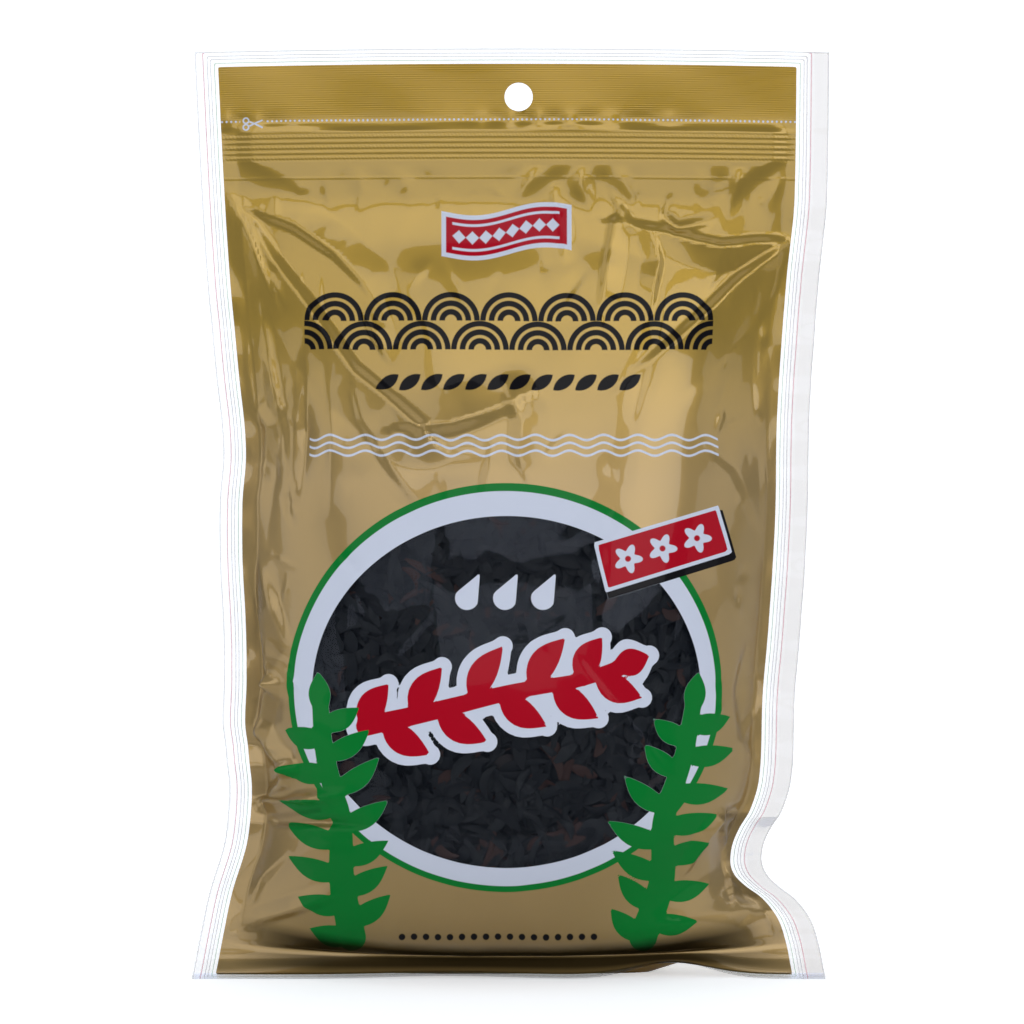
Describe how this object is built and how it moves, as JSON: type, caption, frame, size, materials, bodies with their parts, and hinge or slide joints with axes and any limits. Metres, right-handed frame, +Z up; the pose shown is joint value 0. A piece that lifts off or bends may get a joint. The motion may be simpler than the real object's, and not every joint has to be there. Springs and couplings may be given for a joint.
{
  "type": "zip-top pouch of dried cut wakame",
  "caption": "Filled zip-top film pouch standing on its bulged base, with sealed edges, a hang hole and a round clear window over cut dried seaweed.",
  "frame": {"origin": "on the floor, under the centre of the bounding box", "axes": "+Z up along the pouch's height, -Y the printed front with the window, +X to the right of it"},
  "size_m": [0.1839, 0.0605, 0.267],
  "materials": {
    "front_film": "glossy clear laminate printed gold, green, red, white and black",
    "back_film": "glossy clear laminate printed gold",
    "zip": "milky moulded strip",
    "wakame": "dry, crumpled, very dark green"
  },
  "bodies": {
    "root": {"front_film": "front_film", "back_film": "back_film", "zip_rib": "zip", "zip_groove": "zip", "wakame": "wakame"}
  },
  "joints": []
}
